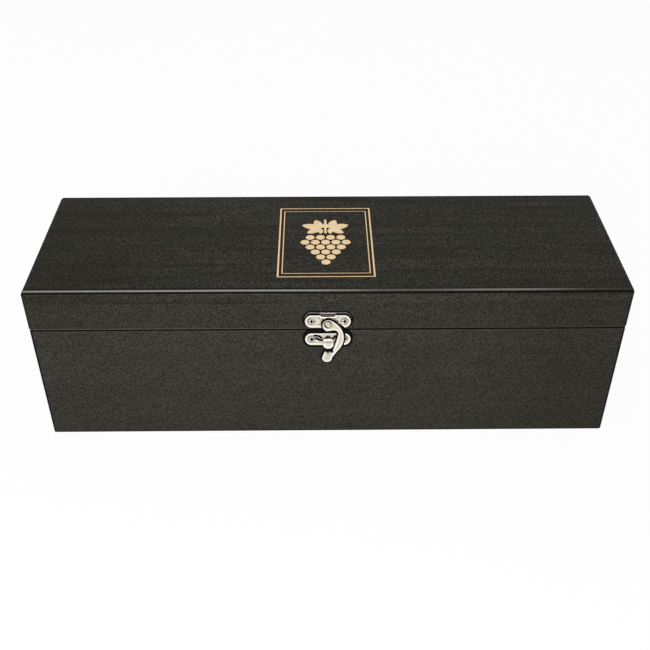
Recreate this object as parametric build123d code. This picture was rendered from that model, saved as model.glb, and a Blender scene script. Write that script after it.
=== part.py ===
"""A hinged wooden box for one bottle of wine, with a swing-hook clasp on its front.

Millimetres. The origin is at the middle of the footprint, on the surface that the box
stands on. +X runs along the box to the viewer's right, -Y is the front, +Z is up.
"""

import os
from math import sqrt

from build123d import *

# Box, outside
base_length = 354.6
box_depth = 111.8
base_height = 82.95
lid_height = 27.15
seam_gap = 0.3
lid_overhang = 0.5
base_corner_radius = 1.5
base_rim_radius = 0.5
lid_edge_radius = 2.5
lid_rim_radius = 0.9

# Boards and their joints
wall_thickness = 9.0
rabbet_depth = 4.5
bottom_thickness = 5.0
lid_top_thickness = 8.0

# Engraving in the lid: a double square border round a bunch of grapes
engraving_depth = 0.4
border_x = -1.1
border_from_front = 55.0
border_width = 58.5
border_depth = 79.5
border_line = 1.1
inner_border_width = 53.3
inner_border_depth = 72.2
inner_border_line = 0.9
grape_radius = 2.9
grape_pitch = 6.4
grape_rows = (4, 5, 4, 3, 2, 1)
bunch_top_y = 4.0
leaf_root_x = 3.0
leaf_root_y = 15.0
leaf_turn = 72.0
leaf_lobe_length = 12.5
leaf_lobe_width = 6.6
leaf_lobe_spread = 54.0
side_lobe_share = 0.85
root_lobe_share = 0.55
stem_bottom_y = 8.6
stem_length = 17.0
stem_width = 1.8

# Boards that hold the bottle, and the felt in their notches
bottle_axis_height = 51.5
bottle_body_radius = 40.0
bottle_neck_radius = 16.0
felt_thickness = 1.5
cradle_thickness = 12.0
body_cradle_x = -105.0
body_cradle_top = 38.0
neck_cradle_x = 98.0

# Hinges
hinge_x = 105.0
leaf_length = 30.0
leaf_width = 7.0
leaf_thickness = 1.0
knuckle_radius = 2.1
knuckle_clearance = 0.3
knuckle_side_gap = 0.15
lid_knuckle_length = 10.0
pin_radius = 1.0
pin_clearance = 0.05
pin_head_radius = 1.5
pin_head_height = 0.6
lid_opening = 105.0
stop_reach = 5.0
stop_thickness = 1.2
stop_clearance = 0.05
hinge_screw_spacing = 18.0
hinge_screw_from_back = 4.0

# Wood screws: the head is a cone of 45 degrees, its cross reaching most of the way out
hinge_screw_head_radius = 1.8
hinge_screw_radius = 0.9
hinge_screw_length = 7.0
clasp_screw_head_radius = 2.1
clasp_screw_radius = 1.1
clasp_screw_length = 8.0
screw_clearance = 0.03
cross_width = 0.5
cross_depth = 0.5
cross_reach = 0.7

# Clasp. Its heights are taken from its own middle, which is a little above the seam.
clasp_x = -0.3
clasp_rise = 0.7
clasp_length = 27.5
clasp_depth = 2.2
clasp_sheet = 0.7
clasp_rim_radius = 0.45
clasp_end_bulge = 3.2
clasp_corner_radius = 0.7
clasp_screw_spacing = 19.5
plate_centre = 6.95
plate_height = 9.6
plate_dip = 1.7
plate_dip_top_width = 10.2
plate_dip_width = 6.4
plate_lobe_radius = 5.4
arm_notch_left = 6.0
arm_notch_tip = (6.1, 6.0)
arm_notch_right = 9.8
catch_centre = -6.3
catch_height = 9.2
keeper_radius = 2.95
keeper_end = -9.8
keeper_top = -6.2
keeper_top_bow = 1.5
keeper_depth = 1.2
keeper_slot_width = 0.7
keeper_slot = ((-7.3, -5.3), (-4.6, -7.0), (-2.4, -6.8), (0.0, -4.5), (2.5, -6.1), (5.0, -3.4))
wing_slot = ((-8.4, -3.5), (-5.6, -4.0), (-3.5, -5.6))

# Swing hook. Its outline is given from the rivet, to the right and upwards.
pivot_height = 5.6
hook_gap = 0.3
hook_thickness = 1.1
hook_edge_radius = 0.35
hook_corner_radius = 0.45
hook_head_left = (-3.1, 0.0)
hook_head_over = (-2.13, 2.33)
hook_head_right = (2.2, 2.75)
arm_outer_bow = (9.45, -9.0)
arm_outer_end = (6.1, -19.4)
tip_right = (2.5, -25.0)
tip_bottom = (-0.6, -28.4)
tip_left = (-3.4, -24.8)
spur_left = (-1.7, -19.7)
spur_notch = (0.0, -21.8)
spur_right = (1.1, -19.9)
arm_slit = (1.8, -22.0)
arm_inner_end = (2.8, -20.0)
arm_inner_bow = (4.6, -14.2)
arm_inner_top = (6.1, -7.8)
arm_shoulder_bow = (5.6, -5.1)
arm_shoulder = (3.4, -4.1)
head_bottom = (-0.5, -4.9)
head_bottom_bow = (-2.5, -3.1)
rivet_radius = 1.2
rivet_clearance = 0.05
rivet_head_radius = 2.2
rivet_head_height = 0.9
rivet_dome_radius = 0.6
rivet_tail_radius = 1.9
rivet_tail_height = 0.5

# Places that follow from the sizes above
half_length = base_length / 2
half_depth = box_depth / 2
lid_bottom = base_height + seam_gap
seam_height = base_height + seam_gap / 2
box_top = lid_bottom + lid_height
lid_ceiling = box_top - lid_top_thickness
lid_half_length = half_length + lid_overhang
inner_half_length = half_length - wall_thickness
inner_half_depth = half_depth - wall_thickness
tongue_half_depth = inner_half_depth + rabbet_depth
body_notch_radius = bottle_body_radius + felt_thickness
neck_notch_radius = bottle_neck_radius + felt_thickness
hinge_axis_y = half_depth + knuckle_radius + knuckle_clearance
clasp_middle_height = seam_height + clasp_rise
hook_back = clasp_depth + hook_gap
hook_front = hook_back + hook_thickness
hinge_screw = (hinge_screw_head_radius, hinge_screw_radius, hinge_screw_length)
clasp_screw = (clasp_screw_head_radius, clasp_screw_radius, clasp_screw_length)
hinge_middles = {"left": -hinge_x, "right": hinge_x}


def block(x_low, x_high, y_low, y_high, z_low, z_high):
    """A square-cornered board between two corners."""
    size = (x_high - x_low, y_high - y_low, z_high - z_low)
    return Pos(x_low, y_low, z_low) * Box(*size, align=Align.MIN)


def save(node, shape):
    export_step(shape, f"parts/{node}.step")


# Outer forms of the two halves: each board is cut to them, so that the rounded edges
# run on from board to board.


def base_envelope():
    form = block(-half_length, half_length, -half_depth, half_depth, 0, base_height)
    form = fillet(form.edges().filter_by(Axis.Z), base_corner_radius)
    rims = form.edges().group_by(Axis.Z)[0] + form.edges().group_by(Axis.Z)[-1]
    return fillet(rims, base_rim_radius)


def lid_envelope():
    form = block(
        -lid_half_length, lid_half_length, -half_depth, half_depth, lid_bottom, box_top
    )
    corners = form.edges().filter_by(Axis.Z)
    top_edges = form.edges().group_by(Axis.Z)[-1]
    form = fillet(corners + top_edges, lid_edge_radius)
    return fillet(form.edges().group_by(Axis.Z)[0], lid_rim_radius)


def long_wall(outer_half_length, z_low, z_high):
    """The front wall of the base or lid: its ends are rabbeted to take the end walls."""
    wall = block(
        -outer_half_length,
        outer_half_length,
        -half_depth,
        -inner_half_depth,
        z_low,
        z_high,
    )
    for low, high in (
        (-outer_half_length, -inner_half_length),
        (inner_half_length, outer_half_length),
    ):
        wall -= block(low, high, -tongue_half_depth, -inner_half_depth, z_low, z_high)
    return wall


def end_wall(outer_half_length, z_low, z_high):
    """The right-hand end wall, let into the rabbets of the long walls."""
    return block(
        inner_half_length,
        outer_half_length,
        -tongue_half_depth,
        tongue_half_depth,
        z_low,
        z_high,
    )


def bottom_panel():
    half_x = inner_half_length + rabbet_depth
    return block(
        -half_x, half_x, -tongue_half_depth, tongue_half_depth, 0, bottom_thickness
    )


# Engraving


def leaf_lobe(length, width):
    """One pointed lobe of a vine leaf, from its root at the origin along +Y."""
    left = ThreePointArc((0, 0), (-width / 2, length / 2), (0, length))
    right = ThreePointArc((0, length), (width / 2, length / 2), (0, 0))
    return make_face([left, right])


def vine_leaf():
    """Five lobes spread like a hand, the middle one longest."""
    leaf = Sketch()
    shares = (root_lobe_share, side_lobe_share, 1.0, side_lobe_share, root_lobe_share)
    for place, share in enumerate(shares):
        turn = Rot(0, 0, (place - len(shares) // 2) * leaf_lobe_spread)
        leaf += turn * leaf_lobe(leaf_lobe_length * share, leaf_lobe_width * share)
    return leaf


def grapes():
    """Rows of round grapes that narrow downwards."""
    row_pitch = grape_pitch * sqrt(3) / 2
    bunch = Sketch()
    for row, count in enumerate(grape_rows):
        for place in range(count):
            x = (place - (count - 1) / 2) * grape_pitch
            bunch += Pos(x, bunch_top_y - row * row_pitch) * Circle(grape_radius)
    return bunch


def square_line(width, depth, line):
    """The outline of a rectangle, drawn inwards with a line of one width."""
    return Rectangle(width, depth) - Rectangle(width - 2 * line, depth - 2 * line)


def engraving():
    """The recess of the double border and of the bunch of grapes with its two leaves."""
    border = square_line(border_width, border_depth, border_line)
    border += square_line(inner_border_width, inner_border_depth, inner_border_line)
    stem = Rectangle(stem_width, stem_length, align=(Align.CENTER, Align.MIN))
    bunch = grapes() + Pos(0, stem_bottom_y) * stem
    for side in (-1, 1):
        leaf = Rot(0, 0, -side * leaf_turn) * vine_leaf()
        bunch += Pos(side * leaf_root_x, leaf_root_y) * leaf
    place = Pos(border_x, border_from_front - half_depth, box_top)
    return extrude(place * (border + bunch), amount=-engraving_depth)


# Cradles


def cradle(x_middle, top, notch_radius):
    """A board across the box with a round notch for the bottle."""
    board = block(
        x_middle - cradle_thickness / 2,
        x_middle + cradle_thickness / 2,
        -inner_half_depth,
        inner_half_depth,
        bottom_thickness,
        top,
    )
    notch = Pos(x_middle, 0, bottle_axis_height) * Rot(0, 90, 0)
    return board - notch * Cylinder(notch_radius, 2 * cradle_thickness)


def cradle_felt(x_middle, top, notch_radius):
    """The strip of felt glued round a cradle's notch."""
    place = Pos(x_middle, 0, bottle_axis_height) * Rot(0, 90, 0)
    ring = place * Cylinder(notch_radius, cradle_thickness)
    ring -= place * Cylinder(notch_radius - felt_thickness, 2 * cradle_thickness)
    below = block(
        x_middle - cradle_thickness,
        x_middle + cradle_thickness,
        -half_depth,
        half_depth,
        0,
        top,
    )
    return ring & below


# Screws


def wood_screw(head_radius, shank_radius, length):
    """A countersunk screw, its head up and flush with z = 0."""
    head_height = head_radius - shank_radius
    point_height = 2 * shank_radius
    align_down = (Align.CENTER, Align.CENTER, Align.MAX)
    head = Cone(shank_radius, head_radius, head_height, align=align_down)
    shank_length = length - head_height - point_height
    shank = Pos(0, 0, -head_height) * Cylinder(
        shank_radius, shank_length, align=align_down
    )
    point = Pos(0, 0, point_height - length) * Cone(
        0, shank_radius, point_height, align=align_down
    )
    screw = head + shank + point
    cross_length = 2 * cross_reach * head_radius
    for angle in (0, 90):
        screw -= Rot(0, 0, angle) * Box(cross_length, cross_width, 2 * cross_depth)
    return screw


def screw_hole(head_radius, shank_radius, length):
    """The room that a wood screw takes, with its clearance."""
    head = head_radius + screw_clearance
    shank = shank_radius + screw_clearance
    align_down = (Align.CENTER, Align.CENTER, Align.MAX)
    hole = Cone(shank, head, head - shank, align=align_down)
    return hole + Cylinder(shank, length + screw_clearance, align=align_down)


def hinge_screw_places(hinge_middle, side):
    """Where one leaf's two screws go: side is 1 on the base and -1 in the lid."""
    height = base_height if side > 0 else lid_bottom
    turn = Rot(0, 0, 0) if side > 0 else Rot(180, 0, 0)
    y = half_depth - hinge_screw_from_back
    for offset in (-hinge_screw_spacing / 2, hinge_screw_spacing / 2):
        yield Pos(hinge_middle + offset, y, height) * turn


def clasp_screw_places(centre_height):
    """Where the two screws of the plate or the catch go, square to the front."""
    y = -half_depth - clasp_depth
    for offset in (-clasp_screw_spacing / 2, clasp_screw_spacing / 2):
        yield Pos(clasp_x + offset, y, clasp_middle_height + centre_height) * Rot(90, 0, 0)


# Hinges


def along_axis(hinge_middle, radius, x_from, x_to):
    """A round bar on the hinge axis, between two places along it."""
    middle = (x_from + x_to) / 2
    bar = Pos(hinge_middle + middle, hinge_axis_y, seam_height) * Rot(0, 90, 0)
    return bar * Cylinder(radius, x_to - x_from)


def stop_tail(hinge_middle, inner_radius, x_from, x_to, side):
    """A plate that stands out behind the knuckles, its working face on the axis.

    The two tails are lid_opening apart when the lid is shut and meet when it is open.
    """
    tail = block(
        x_from, x_to, inner_radius, stop_reach, stop_clearance / 2, stop_thickness
    )
    if side > 0:
        tail = mirror(tail, Plane.XY)
    turn = Rot(-side * lid_opening / 2, 0, 0)
    return Pos(hinge_middle, hinge_axis_y, seam_height) * turn * tail


def hinge_leaf(hinge_middle, side):
    """One leaf: side is 1 for the base leaf and -1 for the lid leaf."""
    half = leaf_length / 2
    lid_half = lid_knuckle_length / 2
    if side > 0:
        face, back = base_height, base_height - leaf_thickness
        own = ((-half, -lid_half - knuckle_side_gap), (lid_half + knuckle_side_gap, half))
        other = ((-lid_half - knuckle_side_gap, lid_half + knuckle_side_gap),)
        tail = stop_tail(
            hinge_middle, knuckle_radius + knuckle_clearance, -half, half, side
        )
        for x_from, x_to in own:
            tail += stop_tail(hinge_middle, pin_radius, x_from, x_to, side)
    else:
        face, back = lid_bottom, lid_bottom + leaf_thickness
        own = ((-lid_half, lid_half),)
        other = ((-half, -lid_half), (lid_half, half))
        tail = stop_tail(hinge_middle, pin_radius, -lid_half, lid_half, side)
    leaf = block(
        hinge_middle - half,
        hinge_middle + half,
        half_depth - leaf_width,
        hinge_axis_y,
        min(face, back),
        max(face, back),
    )
    for x_from, x_to in other:
        leaf -= block(
            hinge_middle + x_from,
            hinge_middle + x_to,
            half_depth - knuckle_side_gap,
            hinge_axis_y,
            min(face, back),
            max(face, back),
        )
    leaf += tail
    for x_from, x_to in own:
        leaf += along_axis(hinge_middle, knuckle_radius, x_from, x_to)
    bore = pin_radius if side > 0 else pin_radius + pin_clearance
    leaf -= along_axis(hinge_middle, bore, -half, half)
    for place in hinge_screw_places(hinge_middle, side):
        leaf -= place * screw_hole(*hinge_screw)
    return leaf


def hinge_pin(hinge_middle):
    half = leaf_length / 2
    pin = along_axis(hinge_middle, pin_radius, -half, half)
    pin += along_axis(hinge_middle, pin_head_radius, half, half + pin_head_height)
    pin += along_axis(hinge_middle, pin_head_radius, -half - pin_head_height, -half)
    return pin


def hinge_mortise(hinge_middle, side):
    """The shallow seat that takes a leaf in the edge of a back board."""
    half = leaf_length / 2
    face = base_height if side > 0 else lid_bottom
    depth = -side * leaf_thickness
    return block(
        hinge_middle - half,
        hinge_middle + half,
        half_depth - leaf_width,
        half_depth,
        min(face, face + depth),
        max(face, face + depth),
    )


# Clasp


def on_front(stand):
    """The plane at a distance from the box's front, its origin at the clasp's middle."""
    return Plane(
        origin=(clasp_x, -half_depth - stand, clasp_middle_height),
        x_dir=(1, 0, 0),
        z_dir=(0, -1, 0),
    )


def plate_outline(centre, height):
    """A bar with bulging ends, which both plates of the clasp start from."""
    end = clasp_length / 2
    straight = end - clasp_end_bulge
    low = centre - height / 2
    high = centre + height / 2
    return make_face(
        [
            Line((-straight, high), (straight, high)),
            ThreePointArc((straight, high), (end, centre), (straight, low)),
            Line((straight, low), (-straight, low)),
            ThreePointArc((-straight, low), (-end, centre), (-straight, high)),
        ]
    )


def hook_plate_outline():
    """The upper plate: a bar, dipped above the hook's head and lobed below it."""
    top = plate_centre + plate_height / 2
    bottom = plate_centre - plate_height / 2
    outline = plate_outline(plate_centre, plate_height)
    outline -= make_face(
        Polyline(
            (-plate_dip_top_width / 2, top),
            (-plate_dip_width / 2, top - plate_dip),
            (plate_dip_width / 2, top - plate_dip),
            (plate_dip_top_width / 2, top),
            close=True,
        )
    )
    lobe = Pos(0, pivot_height) * Circle(plate_lobe_radius)
    outline += lobe & Pos(0, bottom) * Rectangle(clasp_length, plate_height / 2)
    outline -= make_face(
        Polyline(
            (arm_notch_left, bottom), arm_notch_tip, (arm_notch_right, bottom), close=True
        )
    )
    return fillet(outline.vertices(), clasp_corner_radius)


def keeper_outline():
    """The nub that the hook goes round: straight sides and round ends."""
    return make_face(
        [
            Line((-keeper_radius, keeper_end), (-keeper_radius, keeper_top)),
            ThreePointArc(
                (-keeper_radius, keeper_top),
                (0, keeper_top + keeper_top_bow),
                (keeper_radius, keeper_top),
            ),
            Line((keeper_radius, keeper_top), (keeper_radius, keeper_end)),
            ThreePointArc(
                (keeper_radius, keeper_end),
                (0, keeper_end - keeper_radius),
                (-keeper_radius, keeper_end),
            ),
        ]
    )


def catch_outline():
    outline = plate_outline(catch_centre, catch_height) + keeper_outline()
    return fillet(outline.vertices(), clasp_corner_radius)


def stamped_pan(outline):
    """A stamped plate with its rim turned back to the wood, hollow behind."""
    pan = extrude(on_front(0) * outline, amount=clasp_depth)
    front_edges = pan.edges().group_by(Axis.Y)[0]
    pan = fillet(front_edges, clasp_rim_radius)
    hollow = offset(outline, amount=-clasp_sheet)
    return pan - extrude(on_front(0) * hollow, amount=clasp_depth - clasp_sheet)


def clasp_plate():
    plate = stamped_pan(hook_plate_outline())
    shaft_hole = on_front(0) * Pos(0, pivot_height) * Circle(rivet_radius)
    plate -= extrude(shaft_hole, amount=clasp_depth)
    for place in clasp_screw_places(plate_centre):
        plate -= place * screw_hole(*clasp_screw)
    return plate


def keeper_slots():
    """The wavy cuts that the keeper was pressed out of the sheet along."""
    cuts = Sketch()
    for points in (keeper_slot, wing_slot):
        cuts += trace(Spline(points), keeper_slot_width)
    return cuts


def clasp_catch():
    catch = stamped_pan(catch_outline())
    catch -= extrude(on_front(0) * keeper_slots(), amount=clasp_depth)
    keeper_back = clasp_depth - clasp_sheet
    keeper = extrude(
        on_front(keeper_back) * keeper_outline(), amount=clasp_sheet + keeper_depth
    )
    catch += fillet(keeper.edges().group_by(Axis.Y)[0], clasp_rim_radius)
    for place in clasp_screw_places(catch_centre):
        catch -= place * screw_hole(*clasp_screw)
    return catch


def hook_outline():
    """The horn: a round head, an arm that bows to the right and a curled tip."""
    outline = make_face(
        [
            ThreePointArc(hook_head_left, hook_head_over, hook_head_right),
            ThreePointArc(hook_head_right, arm_outer_bow, arm_outer_end),
            Line(arm_outer_end, tip_right),
            ThreePointArc(tip_right, tip_bottom, tip_left),
            Polyline(tip_left, spur_left, spur_notch, spur_right, arm_slit, arm_inner_end),
            ThreePointArc(arm_inner_end, arm_inner_bow, arm_inner_top),
            ThreePointArc(arm_inner_top, arm_shoulder_bow, arm_shoulder),
            Line(arm_shoulder, head_bottom),
            ThreePointArc(head_bottom, head_bottom_bow, hook_head_left),
        ]
    )
    return fillet(outline.vertices(), hook_corner_radius)


def clasp_hook():
    pivot = Pos(0, pivot_height)
    hook = extrude(on_front(hook_back) * pivot * hook_outline(), amount=hook_thickness)
    hook = fillet(hook.edges().group_by(Axis.Y)[0], hook_edge_radius)
    bore = on_front(hook_back) * pivot * Circle(rivet_radius + rivet_clearance)
    return hook - extrude(bore, amount=hook_thickness)


def clasp_rivet():
    """The hook's pivot: a domed head in front, a shank and a tail set behind the plate."""
    head_stand = hook_front + rivet_clearance
    tail_stand = clasp_depth - clasp_sheet - rivet_tail_height

    def disc(stand, radius, height):
        face = on_front(stand) * Pos(0, pivot_height) * Circle(radius)
        return extrude(face, amount=height)

    head = disc(head_stand, rivet_head_radius, rivet_head_height)
    head = fillet(head.edges().group_by(Axis.Y)[0], rivet_dome_radius)
    shank = disc(tail_stand, rivet_radius, head_stand - tail_stand)
    return head + shank + disc(tail_stand, rivet_tail_radius, rivet_tail_height)


def drilled(board, places, head_radius, shank_radius, length):
    """A board with a pilot hole at each screw's place."""
    for place in places:
        board -= place * screw_hole(head_radius, shank_radius, length)
    return board


def screw_set(places, head_radius, shank_radius, length):
    """Identical screws as separate solids of one node."""
    screw = wood_screw(head_radius, shank_radius, length)
    return Compound([place * screw for place in places])


def base_boards():
    envelope = base_envelope()
    bottom = bottom_panel()
    front = (long_wall(half_length, 0, base_height) - bottom) & envelope
    back = mirror(front, Plane.XZ)
    right = (end_wall(half_length, 0, base_height) - bottom) & envelope
    front = drilled(front, clasp_screw_places(catch_centre), *clasp_screw)
    for middle in hinge_middles.values():
        back -= hinge_mortise(middle, 1)
        back = drilled(back, hinge_screw_places(middle, 1), *hinge_screw)
    save("base_front_panel", front)
    save("base_back_panel", back)
    save("base_right_panel", right)
    save("base_left_panel", mirror(right, Plane.YZ))
    save("base_bottom_panel", bottom)


def lid_boards():
    envelope = lid_envelope()
    front = long_wall(lid_half_length, lid_bottom, lid_ceiling) & envelope
    back = mirror(front, Plane.XZ)
    right = end_wall(lid_half_length, lid_bottom, lid_ceiling) & envelope
    top = envelope & block(
        -lid_half_length,
        lid_half_length,
        -half_depth,
        half_depth,
        lid_ceiling,
        box_top,
    )
    front = drilled(front, clasp_screw_places(plate_centre), *clasp_screw)
    for middle in hinge_middles.values():
        back -= hinge_mortise(middle, -1)
        back = drilled(back, hinge_screw_places(middle, -1), *hinge_screw)
    save("lid_front_rail", front)
    save("lid_back_rail", back)
    save("lid_right_rail", right)
    save("lid_left_rail", mirror(right, Plane.YZ))
    save("lid_top_panel", top - engraving())


def bottle_cradles():
    for name, x_middle, top, notch_radius in (
        ("body", body_cradle_x, body_cradle_top, body_notch_radius),
        ("neck", neck_cradle_x, bottle_axis_height, neck_notch_radius),
    ):
        save(f"{name}_cradle", cradle(x_middle, top, notch_radius))
        save(f"{name}_cradle_felt", cradle_felt(x_middle, top, notch_radius))


def hinges():
    for name, middle in hinge_middles.items():
        save(f"{name}_hinge_base_leaf", hinge_leaf(middle, 1))
        save(f"{name}_hinge_lid_leaf", hinge_leaf(middle, -1))
        save(f"{name}_hinge_pin", hinge_pin(middle))
        base_screws = screw_set(hinge_screw_places(middle, 1), *hinge_screw)
        lid_screws = screw_set(hinge_screw_places(middle, -1), *hinge_screw)
        save(f"{name}_hinge_base_screws", base_screws)
        save(f"{name}_hinge_lid_screws", lid_screws)


def clasp():
    save("clasp_plate", clasp_plate())
    save("clasp_hook", clasp_hook())
    save("clasp_rivet", clasp_rivet())
    save("clasp_catch", clasp_catch())
    plate_screws = screw_set(clasp_screw_places(plate_centre), *clasp_screw)
    catch_screws = screw_set(clasp_screw_places(catch_centre), *clasp_screw)
    save("clasp_plate_screws", plate_screws)
    save("clasp_catch_screws", catch_screws)


os.makedirs("parts", exist_ok=True)
base_boards()
lid_boards()
bottle_cradles()
hinges()
clasp()
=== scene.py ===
from math import acos, cos, pi, radians, sin

import bmesh
import bpy
import numpy as np
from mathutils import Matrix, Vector
from mathutils.geometry import delaunay_2d_cdt


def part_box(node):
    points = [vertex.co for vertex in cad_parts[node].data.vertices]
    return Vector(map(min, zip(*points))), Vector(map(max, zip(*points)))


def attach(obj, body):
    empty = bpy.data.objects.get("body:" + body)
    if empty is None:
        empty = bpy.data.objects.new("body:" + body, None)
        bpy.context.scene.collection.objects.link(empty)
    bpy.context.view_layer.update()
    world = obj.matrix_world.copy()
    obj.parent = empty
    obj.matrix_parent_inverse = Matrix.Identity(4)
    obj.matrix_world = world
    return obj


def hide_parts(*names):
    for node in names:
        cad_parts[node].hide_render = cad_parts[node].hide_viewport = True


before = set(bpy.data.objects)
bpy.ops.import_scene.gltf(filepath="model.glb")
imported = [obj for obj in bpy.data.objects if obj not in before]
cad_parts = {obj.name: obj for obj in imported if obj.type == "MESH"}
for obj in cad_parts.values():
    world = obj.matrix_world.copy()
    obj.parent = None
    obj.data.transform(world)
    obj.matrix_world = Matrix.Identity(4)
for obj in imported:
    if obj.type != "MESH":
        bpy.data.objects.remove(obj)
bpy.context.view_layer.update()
MM = 0.001
in_plane_within = 0.005 * MM
seam = (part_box("base_front_panel")[1].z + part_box("lid_front_rail")[0].z) / 2
box_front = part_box("base_front_panel")[0].y
lid_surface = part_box("lid_top_panel")[1].z

# Clasp, in millimetres: rows and columns are counted from its own middle
pivot_height = 5.6
plate_row = 6.95
catch_row = -6.3
screw_column = 9.75
screw_hole_radius = 2.12
pan_margin = 0.34
pan_depth = 2.24
flange_height = 1.3
flange_depth = 0.5
dip_half_width = 5.6
cut_width = 1.25
keeper_column = 0.3
keeper_top = -6.5
keeper_top_bow = 0.7
keeper_bottom = -9.8
keeper_radius = 2.95
keeper_stand = 1.5
keeper_depth = 1.9

# Engraving, in millimetres: how deep its recess is cut, and how deep the bare wood shows
recess_depth = 0.4
bared_depth = 0.14

# Felt, in millimetres: its radius is at the middle of its thickness
body_felt_radius = 40.75
body_cradle_below_axis = 13.5
neck_felt_radius = 16.75
felt_thickness = 1.4
felt_seat_to_middle = 0.75

rivet_low, rivet_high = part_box("clasp_rivet")
pivot = np.array([(rivet_low.x + rivet_high.x) / 2, (rivet_low.z + rivet_high.z) / 2])
clasp_middle = pivot - np.array([0, pivot_height * MM])
screw_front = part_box("clasp_plate_screws")[0].y


# Shader building


class Value:
    """A number that varies over a surface: arithmetic on it adds Math nodes."""

    def __init__(self, paint, socket):
        self.paint = paint
        self.socket = socket

    def math(self, operation, *numbers):
        inputs = dict(enumerate(numbers))
        return self.paint.node("ShaderNodeMath", {"operation": operation}, inputs)

    def __add__(self, other):
        return self.math("ADD", self, other)

    def __radd__(self, other):
        return self.math("ADD", other, self)

    def __sub__(self, other):
        return self.math("SUBTRACT", self, other)

    def __rsub__(self, other):
        return self.math("SUBTRACT", other, self)

    def __mul__(self, other):
        return self.math("MULTIPLY", self, other)

    def __rmul__(self, other):
        return self.math("MULTIPLY", other, self)

    def __pow__(self, other):
        return self.math("POWER", self, other)

    def __abs__(self):
        return self.math("ABSOLUTE", self)

    def capped(self):
        """No more than 1."""
        return self.math("MINIMUM", self, 1.0)

    def above(self, low, high):
        """0 below low and 1 above high, with a smooth step between them."""
        settings = {"interpolation_type": "SMOOTHSTEP"}
        inputs = {"Value": self, "From Min": low, "From Max": high}
        return self.paint.node("ShaderNodeMapRange", settings, inputs)


class Paint:
    """A material's or the world's nodes."""

    def __init__(self, owner, result="ShaderNodeOutputMaterial"):
        self.owner = owner
        self.result = result
        owner.use_nodes = True
        self.tree = owner.node_tree
        self.tree.nodes.clear()

    def node(self, kind, settings=None, inputs=None, output=0):
        made = self.tree.nodes.new(kind)
        for name, setting in (settings or {}).items():
            setattr(made, name, setting)
        for name, value in (inputs or {}).items():
            if isinstance(value, Value):
                self.tree.links.new(value.socket, made.inputs[name])
            else:
                made.inputs[name].default_value = value
        return Value(self, made.outputs[output])

    def place(self, scale, offset=(0, 0, 0)):
        """A point's place on the object, stretched by a scale along each axis."""
        point = self.node("ShaderNodeTexCoord", output="Object")
        turned = (0.5, 0.7, 0.3)
        inputs = {"Vector": point, "Location": offset, "Rotation": turned, "Scale": scale}
        return self.node("ShaderNodeMapping", inputs=inputs)

    def axis(self, source, axis):
        """One part of a point's place ("Object") or of the way that it faces ("Normal")."""
        vector = self.node("ShaderNodeTexCoord", output=source)
        return self.node("ShaderNodeSeparateXYZ", inputs={"Vector": vector}, output=axis)

    def position(self):
        """A point's x, y and z on the object."""
        return [self.axis("Object", axis) for axis in range(3)]

    def painted(self, name):
        """A number that the mesh carries at its points."""
        return self.node("ShaderNodeAttribute", {"attribute_name": name}, output="Fac")

    def noise(self, scale, offset=(0, 0, 0), detail=2.0, roughness=0.5, distortion=0.0):
        inputs = {
            "Vector": self.place(scale, offset),
            "Scale": 1.0,
            "Detail": detail,
            "Roughness": roughness,
            "Distortion": distortion,
        }
        return self.node("ShaderNodeTexNoise", inputs=inputs)

    def mix(self, share, first, second):
        """A colour between two colours."""
        inputs = {"Factor": share, 6: first, 7: second}
        return self.node("ShaderNodeMix", {"data_type": "RGBA"}, inputs, output=2)

    def bump(self, height, distance, strength=1.0):
        inputs = {"Height": height, "Distance": distance, "Strength": strength}
        return self.node("ShaderNodeBump", inputs=inputs)

    def rays_that_see(self):
        """1 where the camera, a reflection or clear glass looks on, and 0 for plain light."""
        seen = 0
        for ray in ("Is Camera Ray", "Is Glossy Ray", "Is Transmission Ray"):
            seen = seen + self.node("ShaderNodeLightPath", output=ray)
        return seen.capped()

    def surface(self, **inputs):
        named = {name.replace("_", " "): value for name, value in inputs.items()}
        shader = self.node("ShaderNodeBsdfPrincipled", inputs=named)
        return self.finish(shader)

    def finish(self, shader):
        result = self.tree.nodes.new(self.result)
        self.tree.links.new(shader.socket, result.inputs["Surface"])
        return self.owner


def new_paint(name):
    return Paint(bpy.data.materials.new(name))


def opaque(red, green, blue):
    return (red, green, blue, 1.0)


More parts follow.
